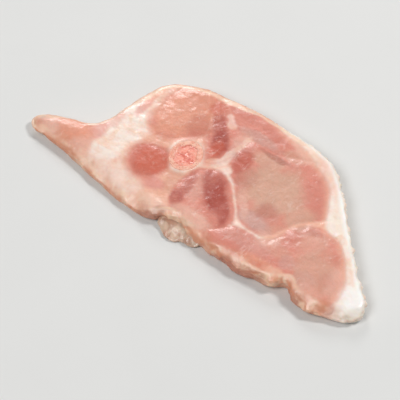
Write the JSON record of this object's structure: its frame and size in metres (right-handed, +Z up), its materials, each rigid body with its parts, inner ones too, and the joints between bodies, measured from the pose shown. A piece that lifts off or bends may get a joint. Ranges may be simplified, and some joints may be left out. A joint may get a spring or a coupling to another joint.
{
  "type": "raw bone-in turkey thigh medallion",
  "caption": "Thin cross-cut slice of raw turkey thigh with the cut bone and marrow in it, a finger-like end and a rim of white skin fat.",
  "frame": {"origin": "centre of the slice's box, on the plane of its flat underside", "axes": "+X along the slice's longest side, from the finger-like end towards the fatty tail; +Y towards the skin rim; +Z up, out of the cut face"},
  "size_m": [0.184, 0.0798, 0.0091],
  "materials": {
    "flesh": "raw muscle, moist and satin",
    "skin_fat": "raw skin and fat, moist and satin",
    "bone": "freshly cut bone, satin",
    "marrow": "raw marrow, moist"
  },
  "bodies": {
    "root": {"thigh_flesh": "flesh", "skin_fat_rim": "skin_fat", "fat_lobe": "skin_fat", "femur_ring": "bone", "femur_marrow": "marrow"}
  },
  "joints": []
}
